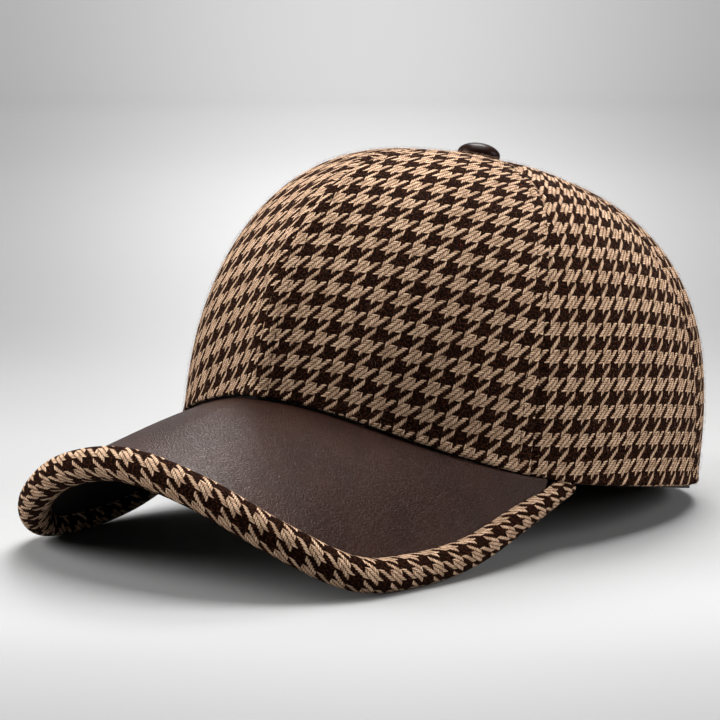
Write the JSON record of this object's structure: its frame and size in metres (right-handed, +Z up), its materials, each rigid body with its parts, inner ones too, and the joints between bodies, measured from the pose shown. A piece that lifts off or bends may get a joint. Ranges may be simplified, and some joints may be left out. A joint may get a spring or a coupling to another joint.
{
  "type": "houndstooth baseball cap",
  "caption": "Houndstooth cloth cap with a rounded, panelled crown, a curved visor topped with leather and edged with a rolled cloth binding, and a glossy button on the tip.",
  "frame": {"origin": "middle of the cap's box, on the surface that it rests on", "axes": "+Z up, the visor points along -Y, +X to the right seen from the front"},
  "size_m": [0.1636, 0.27, 0.1286],
  "materials": {
    "houndstooth_cloth": "woven wool houndstooth in tan and dark brown, matt with a light fuzz",
    "houndstooth_binding": "the same houndstooth wool, rolled round the visor's edge",
    "visor_leather": "dark brown leather, fine grain, satin",
    "visor_lining": "near-black twill, matt",
    "band_lining": "black grosgrain, matt",
    "button_gloss": "very dark brown, glossy"
  },
  "bodies": {
    "root": {"crown_panel_front_right": "houndstooth_cloth", "crown_panel_front_left": "houndstooth_cloth", "crown_panel_side_right": "houndstooth_cloth", "crown_panel_side_left": "houndstooth_cloth", "crown_panel_back_right": "houndstooth_cloth", "crown_panel_back_left": "houndstooth_cloth", "sweatband": "band_lining", "visor_cover": "visor_leather", "visor_underside": "visor_lining", "visor_binding": "houndstooth_binding", "top_button": "button_gloss"}
  },
  "joints": []
}
